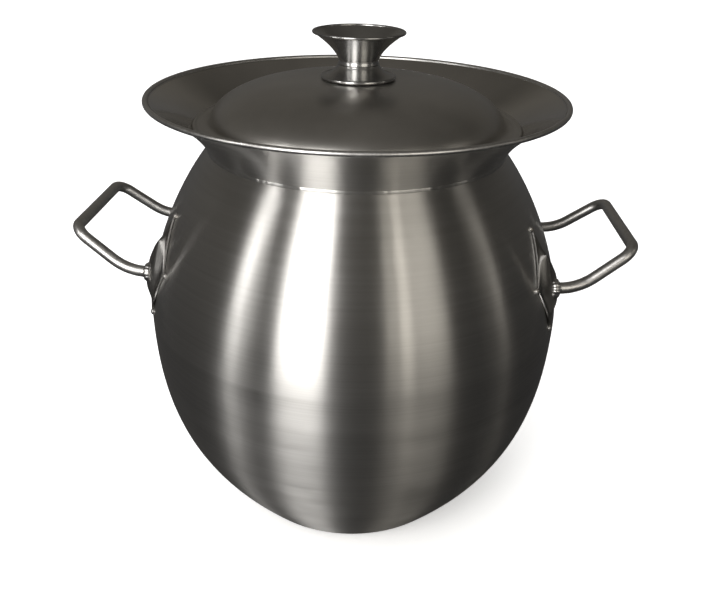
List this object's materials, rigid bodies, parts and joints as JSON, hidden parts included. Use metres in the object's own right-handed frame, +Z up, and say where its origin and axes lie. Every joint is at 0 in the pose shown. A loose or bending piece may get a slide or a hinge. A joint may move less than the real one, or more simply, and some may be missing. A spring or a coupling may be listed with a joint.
{
  "type": "brew kettle",
  "caption": "Round-bellied steel kettle on a flat base, with a narrow neck, a wide flared collar, bent-rod side handles and a lift-off domed lid with a spun knob; holds and heats wort.",
  "frame": {"origin": "middle of the underside of the flat base, on the vessel's axis", "axes": "+Z up along the vessel's axis; the two handles lie along +X (right) and -X (left); -Y is the front"},
  "size_m": [0.494, 0.382, 0.4554],
  "materials": {
    "brushed_belly": "stainless steel, finely brushed round the axis",
    "polished_collar": "stainless steel, mirror-polished inside the flare and brushed outside",
    "polished_rod": "stainless steel rod, bright drawn",
    "pressed_pad": "pressed stainless steel sheet, satin",
    "weld_metal": "stainless weld metal, lightly ground",
    "mirror_lid": "mirror-polished stainless steel",
    "mirror_knob": "mirror-polished stainless steel",
    "fastener_steel": "bright stainless fasteners"
  },
  "bodies": {
    "kettle": {"kettle_belly": "brushed_belly", "neck_weld": "weld_metal", "flared_collar": "polished_collar", "handle_right_rod": "polished_rod", "handle_pad_right_front": "pressed_pad", "rod_weld_right_front": "weld_metal", "tack_weld_right_front_upper": "weld_metal", "tack_weld_right_front_lower": "weld_metal", "tack_weld_right_front_outer": "weld_metal", "tack_weld_right_front_inner": "weld_metal", "handle_pad_right_rear": "pressed_pad", "rod_weld_right_rear": "weld_metal", "tack_weld_right_rear_upper": "weld_metal", "tack_weld_right_rear_lower": "weld_metal", "tack_weld_right_rear_outer": "weld_metal", "tack_weld_right_rear_inner": "weld_metal", "handle_left_rod": "polished_rod", "handle_pad_left_front": "pressed_pad", "rod_weld_left_front": "weld_metal", "tack_weld_left_front_upper": "weld_metal", "tack_weld_left_front_lower": "weld_metal", "tack_weld_left_front_outer": "weld_metal", "tack_weld_left_front_inner": "weld_metal", "handle_pad_left_rear": "pressed_pad", "rod_weld_left_rear": "weld_metal", "tack_weld_left_rear_upper": "weld_metal", "tack_weld_left_rear_lower": "weld_metal", "tack_weld_left_rear_outer": "weld_metal", "tack_weld_left_rear_inner": "weld_metal"},
    "lid": {"lid_dome": "mirror_lid", "lid_washer": "fastener_steel", "knob_bolt": "fastener_steel", "knob_foot": "mirror_knob", "knob_cup": "mirror_knob", "knob_nut": "fastener_steel"}
  },
  "joints": [
    {"name": "lid_lift", "type": "slide", "parent": "kettle", "child": "lid", "axis": [0, 0, 1], "range_m": [0, 0.2]}
  ]
}
